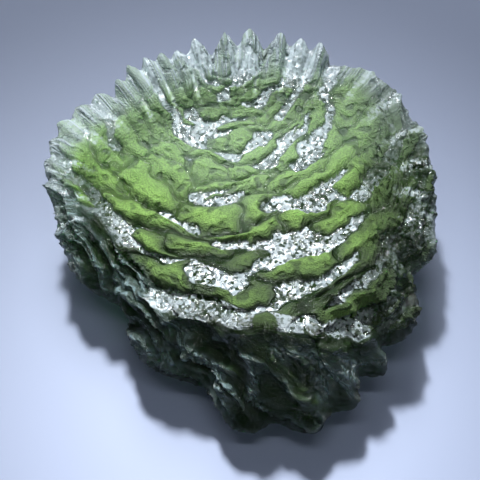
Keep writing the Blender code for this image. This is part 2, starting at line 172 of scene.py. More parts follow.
# The ledge between the upper face and the front, in face coordinates
LEDGE_UP = -0.0076
LEDGE_FALL = 0.17
LEDGE_BEND = 10.5
LEDGE_WAVE = 0.0004
LEDGE_WAVE_RUN = 0.0031
LEDGE_WAVE_START = 0.6
LEDGE_WIDTH = 0.0016
SHELF_LIFT = 0.15
SHELF_STEP = 1.3

# Where one region passes into the next: below the ledge, across the fall, across and up the face. Borders
# stray by lumps, the ledge by a share of that, and a region may hold only a share of another
FRONT_BORDER = (-0.0012, 0.0006)
WALL_BORDER = (-0.0032, -0.0014)
LEFT_EDGE_BORDER = (-0.0100, -0.0086)
ROPE_BORDER = (-0.0064, -0.0050)
RIGHT_EDGE_BORDER = (0.0100, 0.0135)
BACK_EDGE_BORDER = (0.0095, 0.0130)
LEDGE_LEFT_END = (-0.0120, -0.0100)
LEDGE_RIGHT_END = (0.0110, 0.0140)
BELLY_HEIGHTS = (0.0003, 0.0020)
BORDER_STRAY = 0.0009
BORDER_LUMPS = ((1.0, 0.0040, 71), (0.33, 0.0015, 72))
LEDGE_STRAY_SHARE = 0.5
RIGHT_OFF_FRONT = 0.6
BACK_SHARE = 0.5
BACK_FIELD_SHARE = 0.5
FLATTER_BARS = (0.0020, 0.0100)
FLATTER_SHARE = 0.4
LOWER_AT_RIGHT = 0.45

# Relief is counted from this share of its height, so that it neither swells nor shrinks the form
EVEN_SHARE = 0.45

# Hollows: across, up, half length, half width, depth, and how soft their edges are
HOLLOWS = (
    (-0.0048, -0.0088, 0.0024, 0.0011, 0.0010), (-0.0008, -0.0100, 0.0014, 0.0009, 0.0006),
    (-0.0150, 0.0035, 0.0022, 0.0010, 0.0007), (0.0085, -0.0092, 0.0020, 0.0010, 0.0006),
)
HOLLOW_EDGE = (0.55, 1.15)

# Round folds of the front, which fall to the right: the grooves between them, measured across the fall
FALL = (0.75, 0.66)
GROOVES = (-0.0064, -0.0040, -0.0026, -0.0004, 0.0022, 0.0045, 0.0075, 0.0110, 0.0150)
FOLD_FULLNESS = 0.6
FOLD_EVEN_SHARE = 0.6
FOLD_LEVEL = 0.75
FOLD_UNEVENNESS = 0.6
FOLD_LUMPS = (0.0050, 75)

# Twisted cords of the front left edge, finer ones at the right, and how far they stray
CORD_LENGTH = 0.0070
CORD_WIDTH = 0.0010
CORD_SEED = 31
CORD_STRAY = 0.0014
STRAY_RUN = 0.0045
FINE_CORD_LENGTH = 0.0049
FINE_CORD_WIDTH = 0.0010
FINE_CORD_HEIGHT = 0.0009
FINE_CORD_SEED = 41

# Between the coarse crests of all cords run finer ones: how much finer, and their share of the height
FINER = 2.1
FINER_START = 5.0
FINER_SHARE = 0.3

# Bundles of thin strands on the folds of the front
BUNDLE_LENGTH = 0.014
BUNDLE_WIDTH = 0.0030
BUNDLE_EDGE = (-0.30, 0.10)
BUNDLE_SEED = 81
STRAND_LENGTH = 0.0065
STRAND_WIDTH = 0.0007
STRAND_HEIGHT = 0.0006
STRAND_SEED = 83

# Pits of the belly
PIT_WIDTH = 0.0034
PIT_DEPTH = 0.0011
PIT_REACH = 0.75
PIT_EVEN_SHARE = 0.3
PIT_SEED = 51

# Level glittering floors: their edges, where the ledge is one, and where they are sparser
FLOOR_EDGE = (0.25, 0.60)
LEDGE_FLOOR = (0.66, 0.88)
LEDGE_BREAKS = (-0.55, -0.20)
LEDGE_LUMPS = (0.0022, 73)
SPARSER_LEFT = (-0.0150, -0.0090)
SPARSER_LEFT_SHARE = 0.40
SPARSER_RIGHT_SHARE = 0.55

# Glitter off the face: streaks up the back wall, facets in the grooves of the front, spots at the right
STREAK_WIDTH = 0.0006
STREAK_LENGTH = 0.0024
STREAK_EDGE = (0.00, 0.25)
STREAK_SEED = 74
GROOVE_EDGE = (0.3, 0.7)
GROOVE_GLITTER = 0.6
SPOT_LENGTH = 0.0030
SPOT_WIDTH = 0.0011
SPOT_EDGE = (0.25, 0.40)
SPOT_GLITTER = 0.50
SPOT_SEED = 76

# Green of the bars, with painted light and shade: painted shade on their front side, less so where they
# are shallow, and painted shade low on the face and at the right. Folds get faint painted light
SHADED_SIDE = (0.05, 0.45)
SHADED_SIDE_SHARE = 0.6
ROUND_CREST = (0.03, 0.70)
SHALLOW_CREST = (0.0, 0.30)
SHALLOW_LEVEL = 0.35
SHALLOW_SHADE = 0.6
PALER_BARS = (-0.0010, 0.0080)
PALER_BEND = 0.4
SHADED_LOW_BARS = (-0.0070, 0.0040)
SHADED_LOW_LEVEL = 0.48
SHADED_RIGHT_SHARE = 0.75
FOLD_PAINTED_LIGHT = 0.16
MATTE_BARS = (0.08, 0.40)
CORD_CREST = (0.30, 0.70)
STRAND_CREST = (0.25, 0.65)

# Thin glass: azimuth of its middle, its reach to both sides, the front end of the thin edge, and how far a
# tooth has to stand out to be thin all through
THIN_MIDDLE = math.radians(108.0)
THIN_REACH = (0.2, 0.9)
THIN_EDGE_FRONT = -0.002
THIN_EDGE_SHARE = 0.6
THIN_GROWTH = 0.0018

# Distance from the pole axis at which the grain of the rim is measured
RIM_RADIUS = 0.019

# Wrinkles are longer along their run than across it: width as a share of length. The ridge range has the
# readings of their noise that count as groove and as ridge, and they stay clear of the flat spot
GRAIN_SHARE = 0.3
GRAIN_RISE_SHARE = 0.5
RIDGE_RANGE = (0.0, 0.24)
RIDGE_EVEN_SHARE = 0.4
CORDED_DEPTH = 1.5
ETCH_DETAIL = 1.5
ETCH_ROUGHNESS = 0.5
CLEAR_OF_BASE = (0.0001, 0.0008)

# Patterns of the finish: how many features a metre holds, levels of finer detail, and roughness
WRINKLES = (3300.0, 2.0, 0.5)
DIMPLES = (6500.0, 2.0, 0.6)
CREASES = (850.0, 3.0, 0.6)
PATCHES = (260.0, 3.0, 0.55)
FACETS_PER_METRE = 3400.0

# Readings of the patterns that count as none and as full
CREASE_RANGE = (0.10, 0.28)
STREAK_RANGE = (0.03, 0.15)
SPECKLE_RANGE = (0.40, 0.60)
GLINT_PAINT_RANGE = (1.52, 2.05)

# Painted light on a lit crest: all over it, in its streaks and in its speckle, and how much painted shade the
# creases add.
# Patches hold a trace of it everywhere
LIT_EVENLY = 0.48
LIT_STREAKS = 0.15
LIT_SPECKLE = 0.45
CREASE_SHADE = 0.6
PATCH_TINT = 0.06

# Painted sheen on the crests of cords, evenly and in streaks; pale tint of thin glass with painted glow,
# evenly
# and in painted highlight streaks; and a painted pale sheen on the pale part of the face
CORD_SHEEN = (0.20, 0.80)
THIN_TINT_AND_GLOW = (0.45, 0.60)
PALE_SHEEN = 0.18

# How much patches and floors add to a facet's chance to carry a painted glint
GLINT_PAINT_BY_PATCH = 1.6
GLINT_PAINT_BY_FLOOR = 0.5

# Facets tilt everywhere, and more on floors. Floors are level, less so where the glass is thin
TILT_EVENLY = 0.7
TILT_ON_FLOORS = 0.3
LEVEL_FLOORS = 0.9
LEVEL_LESS_IF_THIN = 0.7

# Height of the grain: wrinkles evenly, on cords and on thin glass, dimples, creases, and its loss on floors
GRAIN_EVENLY = 0.45
GRAIN_ON_CORDS = 0.8
GRAIN_ON_THIN = 0.9
DIMPLE_HEIGHT = 0.7
CREASE_HEIGHT = 0.7
GRAIN_LOSS_ON_FLOORS = 0.85

# Roughness of bare glass, and what matte bars and the crests of cords add
BARE_ROUGHNESS = 0.10
MATTE_ROUGHNESS = 0.78
CORD_ROUGHNESS = 0.20

# How far the points of the mesh crowd to the upper face, and where they crowd to
CROWDING = 0.22
CROWD_POLAR = math.radians(20.0)
CROWD_AZIMUTH = math.radians(90.0)

# The stage: roughness of the floor, the key light, and the other lamps with their place, colour, width, and
# depth where they aren't round
FLOOR_ROUGHNESS = 0.6
KEY_PLACE = (-0.045, 0.16, 0.33)
KEY_TARGET = (0.0, -0.016, 0.0)
KEY_COLOUR = (0.93, 0.96, 1.0)
KEY_RADIUS = 0.022
KEY_SOFT_EDGE = 0.3
LAMP_TARGET = (0.0, 0.0, 0.008)
LAMPS = (
    ("back_glow", (-0.015, 0.20, 0.30), (0.93, 0.96, 1.0), 0.14, None),
    ("front_fill", (0.12, -0.35, 0.30), (0.9, 0.95, 1.0), 0.35, None),
    ("top_strip", (0.0, -0.08, 0.33), (0.95, 0.97, 1.0), 0.20, 0.015),
)
NEAREST_SEEN = 0.01


def smooth(low, high, value):
    """0 below low, 1 above high, and an even S between them."""
    share = np.clip((value - low) / (high - low), 0.0, 1.0)
    return share * share * (3.0 - 2.0 * share)


def hermite(x, x0, x1, y0, y1, slope0, slope1):
    """Cubic from (x0, y0) to (x1, y1) with the given end slopes, read at x."""
    span = x1 - x0
    t = (x - x0) / span
    start = (1 + 2 * t) * (1 - t) ** 2 * y0 + t * (1 - t) ** 2 * span * slope0
    end = t * t * (3 - 2 * t) * y1 + t * t * (t - 1) * span * slope1
    return start + end


def round_curve(azimuth, knots):
    """A closed curve through (degrees, value) knots, read at azimuth in radians."""
    angles = np.radians([knot[0] for knot in knots])
    values = np.array([knot[1] for knot in knots])
    angles = np.concatenate([angles[-2:] - 2 * math.pi, angles, angles[:2] + 2 * math.pi])
    values = np.concatenate([values[-2:], values, values[:2]])
    slopes = np.gradient(values, angles)
    azimuth = np.mod(azimuth, 2 * math.pi)
    i = np.clip(np.searchsorted(angles, azimuth, side="right") - 1, 0, len(angles) - 2)
    return hermite(azimuth, angles[i], angles[i + 1], values[i], values[i + 1], slopes[i], slopes[i + 1])


def section_curve(polar, angles, values):
    """A smooth curve from pole to pole through values, which has one column for each point."""
    slopes = np.gradient(values, angles, axis=0)
    slopes[0] *= values[0] == 0.0
    slopes[-1] *= values[-1] == 0.0
    i = np.clip(np.searchsorted(angles, polar, side="right") - 1, 0, len(angles) - 2)
    each = np.arange(len(polar))
    ends = values[i, each], values[i + 1, each]
    return hermite(polar, angles[i], angles[i + 1], *ends, slopes[i, each], slopes[i + 1, each])


def lumps(points, size, seed):
    """Smooth noise from -1 to 1 whose lumps are about size across."""
    cells = 16
    table = np.random.default_rng(seed).uniform(-1.0, 1.0, (cells, cells, cells))
    scaled = points / size
    corner_cell = np.floor(scaled).astype(int)
    part = scaled - corner_cell
    part = part * part * (3.0 - 2.0 * part)
    total = np.zeros(len(points))
    for corner in np.ndindex(2, 2, 2):
        weight = np.prod(np.where(corner, part, 1.0 - part), axis=1)
        index = (corner_cell + corner) % cells
        total += weight * table[index[:, 0], index[:, 1], index[:, 2]]
    return total


def layered_lumps(points, layers):
    """Lumps of several sizes added up. Each layer has its share, its size and its seed."""
    return sum(share * lumps(points, size, seed) for share, size, seed in layers)


def flat_lumps(first, second, first_size, second_size, seed):
    """Noise from -1 to 1 over two coordinates, with a size for each."""
    cell = np.stack([first / first_size, second / second_size, np.zeros_like(first)], axis=1)
    return lumps(cell, 1.0, seed)


def scattered_cells(along, across, seed):
    """Cells of size one laid like rough bricks.

    Returns the distance to the nearest centre and to the next one, a number from 0 to 1 for the cell, and
    how far across from its centre the point lies.
    """
    count = 64
    rng = np.random.default_rng(seed)
    jitter = rng.uniform(-1.0, 1.0, (count, count, 2)) * CELL_STRAY
    numbers = rng.uniform(0.0, 1.0, (count, count))
    column = np.floor(along).astype(int)
    row = np.floor(across).astype(int)
    far = 9.0
    nearest = np.full(len(along), far)
    second = np.full(len(along), far)
    number = np.zeros(len(along))
    offset = np.zeros(len(along))
    for step_along in range(-2, 2):
        for step_across in range(-1, 2):
            i, j = column + step_along, row + step_across
            shift = jitter[i % count, j % count]
            x = i + 0.5 + shift[:, 0] + 0.5 * (j % 2) - along
            y = j + 0.5 + shift[:, 1] - across
            distance = np.cbrt(np.abs(x) ** 3 + np.abs(y) ** 3)
            closer = distance < nearest
            second = np.where(closer, nearest, np.minimum(second, distance))
            number = np.where(closer, numbers[i % count, j % count], number)
            offset = np.where(closer, -y, offset)
            nearest = np.where(closer, distance, nearest)
    return nearest, second, number, offset


def direction(polar, azimuth):
    """Unit vector at an angle from the top pole and an azimuth, both in radians."""
    return np.array(
        [math.sin(polar) * math.cos(azimuth), math.sin(polar) * math.sin(azimuth), math.cos(polar)]
    )


def sphere_mesh(edges):
    """Sphere of triangles crowded to the upper face, with a point on the tip of each tooth and nodule."""
    mesh = bmesh.new()
    bmesh.ops.create_icosphere(mesh, subdivisions=1, radius=1.0)
    bmesh.ops.subdivide_edges(mesh, edges=mesh.edges[:], cuts=edges - 1, use_grid_fill=True)
    bmesh.ops.triangulate(mesh, faces=mesh.faces[:])
    points = np.array([vertex.co[:] for vertex in mesh.verts])
    faces = np.array([[vertex.index for vertex in face.verts] for face in mesh.faces])
    mesh.free()
    points /= np.linalg.norm(points, axis=1, keepdims=True)
    points += CROWDING * direction(CROWD_POLAR, CROWD_AZIMUTH)
    points /= np.linalg.norm(points, axis=1, keepdims=True)
    for feature in TEETH + NODULES:
        tip = direction(math.radians(RIM_ANGLE), math.radians(feature[0]))
        points[np.argmax(points @ tip)] = tip
    return points, faces


def base_form(azimuth, polar):
    """The stone without its relief."""
    rim = round_curve(azimuth, RIM_OUTLINE)
    angles = [0.0]
    radii = [np.zeros_like(azimuth)]
    heights = [np.full_like(azimuth, TOP_POLE_HEIGHT)]
    for angle, sections in RINGS:
        shares = [(DIRECTION_STEP * k, section[0]) for k, section in enumerate(sections)]
        levels = [(DIRECTION_STEP * k, section[1]) for k, section in enumerate(sections)]
        angles.append(angle)
        radii.append(round_curve(azimuth, shares) * rim)
        heights.append(round_curve(azimuth, levels))
    angles.append(180.0)
    radii.append(np.zeros_like(azimuth))
    heights.append(np.full_like(azimuth, BOTTOM_POLE_HEIGHT))
    radius = section_curve(polar, np.array(angles), np.array(radii))
    height = section_curve(polar, np.array(angles), np.array(heights))
    form = np.stack([radius * np.cos(azimuth), radius * np.sin(azimuth), height], axis=1)
    form[:, :2] += np.array(BELLY_SHIFT) * smooth(*BELLY_SHIFT_BAND, polar)[:, None]
    return form


def normals_of(points, faces):
    """Unit normals of a mesh's points, from the faces round each."""
    a, b, c = (points[faces[:, k]] for k in range(3))
    face_normals = np.cross(b - a, c - a)
    normals = np.zeros_like(points)
    for k in range(3):
        np.add.at(normals, faces[:, k], face_normals)
    return normals / np.linalg.norm(normals, axis=1, keepdims=True)


def face_coordinates(points):
    """Across the broad face, and up its slope from the face's middle."""
    up = points[:, 1] * math.sin(FACE_SLOPE) + points[:, 2] * math.cos(FACE_SLOPE)
    return points[:, 0], up - FACE_MIDDLE_HEIGHT


def ledge_line(across):
    """How far up the face the ledge lies."""
    middle = LEDGE_UP - LEDGE_FALL * across + LEDGE_BEND * across**2
    return middle + LEDGE_WAVE * np.sin(across / LEDGE_WAVE_RUN + LEDGE_WAVE_START)


def shelf(above_ledge):
    """A step along the ledge: hollow above its line, and standing out below it."""
    share = above_ledge / LEDGE_WIDTH
    return (SHELF_LIFT - SHELF_STEP * share) * np.exp(-(share**2))


def bars(sizes, across, up, points):
    """The curved bars.

    Returns their height, from 0 in the gaps to 1, the share of bare floor, the share of light, which is less
    on a bar's front side, and the place of each point along and across the bars.
    """
    x, y = across - BAR_CENTRE[0], up - BAR_CENTRE[1]
    radius = np.hypot(x, y) + BAR_WANDER * layered_lumps(points, ROW_LUMPS)
    arc = np.arctan2(x, -y) * (ARC_SHARE * radius + ARC_START) + END_WANDER * layered_lumps(points, END_LUMPS)
    # The bars grow wider to the front
    row = radius / (sizes.bar_width * (NARROWEST_ROW + radius / BAR_SPREAD))
    nearest, second, number, offset = scattered_cells(arc / sizes.bar_length + CELL_START, row, BAR_SEED)
    inside = second - nearest
    strip = flat_lumps(arc, radius, STRIP_LENGTH, STRIP_WIDTH, STRIP_SEED)
    gap = WIDEST_GAP * smooth(*STRIP_OPENING, strip)
    body = np.clip((inside - gap) / BAR_FLANK, 0.0, 1.0) ** BAR_FULLNESS
    bare = smooth(*BARE_GAP, gap) * (1.0 - smooth(*BARE_EDGE, inside - gap))
    # Each bar is round across, and its front edge stands higher than its back
    drop = FRONT_DROP * np.clip(offset - FRONT_EDGE, 0.0, 1.0) ** 2
    crown = 1.0 - BAR_ROUNDNESS * nearest**2 - drop + FRONT_LIFT * offset
    # Painted shade: a bar's green is darker on its front side
    shade = 1.0 - SHADED_SIDE_SHARE * smooth(*SHADED_SIDE, offset)
    return body * crown * (LOWEST_BAR + (1.0 - LOWEST_BAR) * number), bare, shade, arc, radius


def cords(along, across, length, width, seed):
    """Branching cords with a sharp crest, from 0 to 1."""
    stray = CORD_STRAY * flat_lumps(along, across, STRAY_RUN, STRAY_RUN, seed)
    cell = np.stack([along / length, (across + stray) / width, np.full_like(along, 0.5)], axis=1)
    coarse = 1.0 - np.abs(lumps(cell, 1.0, seed + 1))
    fine = 1.0 - np.abs(lumps(cell * FINER + FINER_START, 1.0, seed + 2))
    return (1.0 - FINER_SHARE) * coarse**3 + FINER_SHARE * fine**3


def folds(fall_across):
    """0 in the grooves between the folds and 1 on the back of each."""
    grooves = np.array(GROOVES)
    i = np.clip(np.searchsorted(grooves, fall_across, side="right") - 1, 0, len(grooves) - 2)
    share = np.clip((fall_across - grooves[i]) / (grooves[i + 1] - grooves[i]), 0.0, 1.0)
    return (4.0 * share * (1.0 - share)) ** FOLD_FULLNESS


def turn_from(azimuth, place):
    """Signed angle in radians from a place in degrees."""
    return np.mod(azimuth - math.radians(place) + math.pi, 2 * math.pi) - math.pi


def ribs(form, azimuth, polar):
    """Ribs that run in from the teeth over the back wall."""
    radius = np.hypot(form[:, 0], form[:, 1])
    stray = RIB_STRAY * lumps(form, *RIB_LUMPS)
    crest = np.zeros(len(form))
    for place, _, half_width, _, _ in TEETH:
        sideways = turn_from(azimuth, place) * radius + stray
        crest = np.maximum(crest, np.exp(-((sideways / (RIB_WIDTH_SHARE * half_width)) ** 2)))
    inward = smooth(*RIB_TOP_END, polar) * (1.0 - smooth(*RIB_LOW_END, polar))
    degrees = np.degrees(azimuth)
    beside = smooth(*RIB_RIGHT_END, degrees) * (1.0 - smooth(*RIB_LEFT_END, degrees))
    return (crest - RIB_EVEN_SHARE) * inward * beside


class Layout:
    """Where each point of the form lies, one array for each value.

    Coordinates run across and up the broad face, and along and across the fall of the front. above_ledge is
    the distance up the face from the ledge, and fold is 0 in the front's grooves and 1 on its folds. All
    other values are shares of a region, from 0 to 1.
    """

    def __init__(self, form, polar):
        self.across, self.up = face_coordinates(form)
        stray = BORDER_STRAY * layered_lumps(form, BORDER_LUMPS)
        self.fall_across = self.across * FALL[0] + self.up * FALL[1] + stray
        self.fall_along = self.across * FALL[1] - self.up * FALL[0]
        self.above_ledge = self.up - ledge_line(self.across) + LEDGE_STRAY_SHARE * stray
        self.fold = folds(self.fall_across)

        self.upper = 1.0 - smooth(*UPPER_END, polar)
        self.belly = smooth(*BELLY_BAND, polar) * smooth(*BELLY_HEIGHTS, form[:, 2])
        self.front = 1.0 - smooth(*FRONT_BORDER, self.above_ledge)
        self.wall = 1.0 - smooth(*WALL_BORDER, self.above_ledge)
        self.left = 1.0 - smooth(*LEFT_EDGE_BORDER, self.fall_across)
        off_front = 1.0 - RIGHT_OFF_FRONT * self.front
        self.right = smooth(*RIGHT_EDGE_BORDER, self.across + stray) * off_front
        self.back = BACK_SHARE * smooth(*BACK_EDGE_BORDER, self.up)
        self.roped = np.maximum(self.left, self.wall * (1.0 - smooth(*ROPE_BORDER, self.fall_across)))
        self.folded = self.upper * self.wall * (1.0 - self.roped)
        # The face has the bars, and the field their colours, which reach further to the edges
        inner = (1.0 - self.front) * (1.0 - self.left)
        self.face = inner * (1.0 - LOWER_AT_RIGHT * self.right) * (1.0 - self.back)
        self.field = inner * (1.0 - BACK_FIELD_SHARE * self.back)
        self.beside_ledge = smooth(*LEDGE_LEFT_END, self.across)
        self.beside_ledge *= 1.0 - smooth(*LEDGE_RIGHT_END, self.across)
        self.back_wall = smooth(*BACK_WALL_BAND, polar) * (form[:, 1] > 0.0)


def hollows(at):
    """Depth of the hollows in the upper side."""
    depth = np.zeros_like(at.up)
    for place_across, place_up, half_length, half_width, deepest in HOLLOWS:
        away = np.hypot((at.across - place_across) / half_length, (at.up - place_up) / half_width)
        depth += deepest * (1.0 - smooth(*HOLLOW_EDGE, away)) * at.upper
    return depth


def pits(form, belly):
    """Depth of the round pits of the belly, counted from their even share."""
    x, y = form[:, 0] / PIT_WIDTH + CELL_START, form[:, 1] / PIT_WIDTH + CELL_START
    nearest = scattered_cells(x, y, PIT_SEED)[0]
    return PIT_DEPTH * (np.clip(1.0 - (nearest / PIT_REACH) ** 2, 0.0, 1.0) - PIT_EVEN_SHARE) * belly


def floor_share(at, form, bare):
    """How much of a bare glittering floor each point is."""
    ledge = np.exp(-((at.above_ledge / LEDGE_WIDTH) ** 2)) * at.beside_ledge
    ledge = smooth(*LEDGE_FLOOR, ledge) * smooth(*LEDGE_BREAKS, lumps(form, *LEDGE_LUMPS))
    at_left = 1.0 - smooth(*SPARSER_LEFT, at.across)
    floor = smooth(*FLOOR_EDGE, np.maximum(bare * at.field, ledge) * at.upper)
    floor *= (1.0 - SPARSER_RIGHT_SHARE * at.right) * (1.0 - SPARSER_LEFT_SHARE * at_left)
    return floor


def glitter_share(at, form, azimuth):
    """Bare facets off the face: streaks up the back wall, and facets in grooves and at the right."""
    streaks = flat_lumps(azimuth * RIM_RADIUS, form[:, 2], STREAK_WIDTH, STREAK_LENGTH, STREAK_SEED)
    streaks = at.back_wall * at.upper * smooth(*STREAK_EDGE, streaks)
    grooves = GROOVE_GLITTER * (1.0 - smooth(*GROOVE_EDGE, at.fold)) * at.folded
    spots = flat_lumps(at.fall_along, at.fall_across, SPOT_LENGTH, SPOT_WIDTH, SPOT_SEED)
    spots = SPOT_GLITTER * at.right * at.upper * smooth(*SPOT_EDGE, spots)
    return np.maximum(np.maximum(streaks, grooves), spots)


def painted_light_share(at, bar_height, shade, floor, bundle):
    """How much painted light each point's green gets: on the bars' crests, less on their front sides, low on
    the face and at the right, and faintly on the folds.
    """
    # Up the face the bars are shallower, their painted shade is softer, and the glass between them keeps some
    # painted light too
    shallow = smooth(*PALER_BARS, at.up)
    round_crest = smooth(*ROUND_CREST, bar_height) * shade
    softened = 1.0 - SHALLOW_SHADE + SHALLOW_SHADE * shade
    shallow_crest = SHALLOW_LEVEL + (1.0 - SHALLOW_LEVEL) * smooth(*SHALLOW_CREST, bar_height) * softened
    crest = round_crest * (1.0 - shallow) + shallow_crest * shallow
    # Painted shade at the right, then low on the face
    crest *= (1.0 - floor) * at.field * (1.0 - SHADED_RIGHT_SHARE * at.right) * at.upper
    crest *= SHADED_LOW_LEVEL + (1.0 - SHADED_LOW_LEVEL) * smooth(*SHADED_LOW_BARS, at.up)
    # Faint painted light on the backs of the front's folds
    return np.maximum(crest, FOLD_PAINTED_LIGHT * at.fold * at.folded * (1.0 - bundle))


def grain_run(at, form, azimuth, corded, arc, radius):
    """Coordinates of the wrinkles, which run along the bars, down the cords and up the back wall."""
    along = arc * (1.0 - corded) + at.fall_along * corded
    across = radius * (1.0 - corded) + at.fall_across * corded
    along = along * (1.0 - at.back_wall) + form[:, 2] * at.back_wall
    across = across * (1.0 - at.back_wall) + azimuth * RIM_RADIUS * at.back_wall
    return np.stack([along * GRAIN_SHARE, across, GRAIN_RISE_SHARE * form[:, 2]], axis=1)


def relief(sizes, form, azimuth, polar):
    """How far each point of the form moves out along its normal, and what it carries for its looks."""
    at = Layout(form, polar)
    bar_height, bare, shade, arc, radius = bars(sizes, at.across, at.up, form)
    twisted = cords(at.fall_along, at.fall_across, CORD_LENGTH, CORD_WIDTH, CORD_SEED)
    fine = cords(at.fall_along, at.fall_across, FINE_CORD_LENGTH, FINE_CORD_WIDTH, FINE_CORD_SEED)
    strands = cords(at.fall_along, at.fall_across, STRAND_LENGTH, STRAND_WIDTH, STRAND_SEED)
    bundle = flat_lumps(at.fall_along, at.fall_across, BUNDLE_LENGTH, BUNDLE_WIDTH, BUNDLE_SEED)
    bundle = smooth(*BUNDLE_EDGE, bundle) * at.folded

    flatter = 1.0 - FLATTER_SHARE * smooth(*FLATTER_BARS, at.up)
    height = sizes.bar_height * flatter * (bar_height - EVEN_SHARE) * at.upper * at.face
    height += sizes.ledge_depth * shelf(at.above_ledge) * at.upper * at.beside_ledge
    uneven = FOLD_LEVEL + FOLD_UNEVENNESS * lumps(form, *FOLD_LUMPS)
    height += sizes.fold_height * (at.fold - FOLD_EVEN_SHARE) * uneven * at.folded
    height += sizes.cord_height * (twisted - EVEN_SHARE) * at.upper * at.roped
    height += FINE_CORD_HEIGHT * (fine - EVEN_SHARE) * at.upper * at.right
    height += STRAND_HEIGHT * (strands - EVEN_SHARE) * bundle
    height += RIB_HEIGHT * ribs(form, azimuth, polar)
    height -= hollows(at) + pits(form, at.belly)

    corded = np.clip(at.left + at.front + at.right, 0.0, 1.0) * at.upper
    floor = floor_share(at, form, bare)
    cord_crest = np.maximum(smooth(*CORD_CREST, twisted) * at.roped, smooth(*STRAND_CREST, strands) * bundle)
    carried = {
        "floor": np.maximum(floor, glitter_share(at, form, azimuth)),
        "matte": smooth(*MATTE_BARS, bar_height) * (1.0 - bare) * at.field * at.upper,
        "corded": corded,
        # The crest share is painted light in the green; where it falls off, painted shade shows
        "crest": painted_light_share(at, bar_height, shade, floor, bundle),
        "grain": grain_run(at, form, azimuth, corded, arc, radius),
        "cord_crest": cord_crest * at.upper,
        # The pale share carries a painted pale sheen up the face
        "pale": smooth(*PALER_BARS, at.up - PALER_BEND * np.abs(at.across)) * at.field * at.upper,
    }
    return height, carried


def outgrowth(form, azimuth, polar, place, length, half_width, lean, flank, rise):
    """Movement of the points near one tooth or nodule, along its own direction."""
    angle = math.radians(place)
    sideways = turn_from(azimuth, place) * np.hypot(form[:, 0], form[:, 1])
    from_rim = (polar - RIM_ANGLE) * SURFACE_PER_DEGREE
    distance = np.hypot(sideways / half_width, from_rim / (ROOT_DEPTH * half_width))
    share = np.clip(1.0 - distance, 0.0, 1.0) ** flank
    out = np.array([math.cos(angle), math.sin(angle), rise])
    left = np.array([-math.sin(angle), math.cos(angle), 0.0])
    way = out - lean * left
    return share[:, None] * length * way / np.linalg.norm(way)


def outgrowths(form, azimuth, polar):
    """Movement of all points by the teeth and nodules: the longest one holds where they meet."""
    pull = np.zeros_like(form)
    grown = [(*tooth, TOOTH_RISE) for tooth in TEETH]
    grown += [(place, length, radius, 0.0, NODULE_FLANK, NODULE_RISE) for place, length, radius in NODULES]
    for feature in grown:
        movement = outgrowth(form, azimuth, polar, *feature)
        pull = np.where(np.abs(movement) > np.abs(pull), movement, pull)
    return pull


def thinness(form, azimuth, polar, pull):
    """Where the glass is thin: along the back and right rim, and in the teeth and nodules."""
    back = smooth(*THIN_BAND, polar) * smooth(*THIN_REACH, np.cos(azimuth - THIN_MIDDLE))
    edge = smooth(*THIN_EDGE_BAND, polar) * (form[:, 1] > THIN_EDGE_FRONT)
    thin = np.maximum(back, THIN_EDGE_SHARE * edge)
    return np.clip(thin + np.linalg.norm(pull, axis=1) / THIN_GROWTH, 0.0, 1.0)


def stone_surface(sizes):
    """Points and faces of the stone, and what its points carry: shares of looks, and the run of the grain."""
    sphere, faces = sphere_mesh(sizes.mesh_edges)
    azimuth = np.arctan2(sphere[:, 1], sphere[:, 0])
    polar = np.degrees(np.arccos(np.clip(sphere[:, 2], -1.0, 1.0)))
    form = base_form(azimuth, polar)
    height, carried = relief(sizes, form, azimuth, polar)
    pull = outgrowths(form, azimuth, polar)
    points = form + normals_of(form, faces) * height[:, None] + pull
    points[:, 2] = np.maximum(points[:, 2], 0.0)
    middle = (points.min(axis=0) + points.max(axis=0)) / 2
    points[:, :2] -= middle[:2]
    carried["thin"] = thinness(form, azimuth, polar, pull)
    return points, faces, carried


class Field:
    """A node's output that takes part in arithmetic."""

    def __init__(self, maker, socket):
        self.maker = maker
        self.socket = socket

    def combine(self, operation, first, second):
        return self.maker.node("ShaderNodeMath", {"operation": operation}, {0: first, 1: second})

    def __add__(self, other):
        return self.combine("ADD", self, other)

    def __radd__(self, other):
        return self.combine("ADD", other, self)

    def __sub__(self, other):
        return self.combine("SUBTRACT", self, other)

    def __rsub__(self, other):
        return self.combine("SUBTRACT", other, self)

    def __mul__(self, other):
        return self.combine("MULTIPLY", self, other)

    def __rmul__(self, other):
        return self.combine("MULTIPLY", other, self)


class NodeMaker:
    """Adds nodes to one tree."""

    def __init__(self, tree):
        self.tree = tree

    def node(self, kind, settings=None, inputs=None, output=0):
        """A node of that kind, as its output: settings come first, then values or links by socket."""
        made = self.tree.nodes.new(kind)
        for name, value in (settings or {}).items():
            setattr(made, name, value)
        for key, value in (inputs or {}).items():
            if isinstance(value, Field):
                self.tree.links.new(value.socket, made.inputs[key])
            else:
                made.inputs[key].default_value = value
        return Field(self, made.outputs[output])

    def noise(self, place, scale, detail, roughness, ridged=False):
        """A noise of so many features a metre, with sharp ridges or smooth."""
        settings = {"noise_type": "RIDGED_MULTIFRACTAL", "normalize": True} if ridged else None
        inputs = {"Vector": place, "Scale": scale, "Detail": detail, "Roughness": roughness}
        return self.node("ShaderNodeTexNoise", settings, inputs)

    def share(self, value, span, settings=None):
        """0 where the value is at the start of the span, and 1 at its end."""
        inputs = {"Value": value, "From Min": span[0], "From Max": span[1]}
        return self.node("ShaderNodeMapRange", settings, inputs)

    def tint(self, factor, under, over):
        """One colour over another, by a factor."""
        inputs = {"Factor": factor, "A": under, "B": over}
        return self.node("ShaderNodeMix", {"data_type": "RGBA"}, inputs, 2)

    def vector(self, operation, first, second=None, scale=None):
        """One operation on vectors."""
        inputs = {0: first, 1: second} if scale is None else {0: first, "Scale": scale}
        inputs = {key: value for key, value in inputs.items() if value is not None}
        return self.node("ShaderNodeVectorMath", {"operation": operation}, inputs)


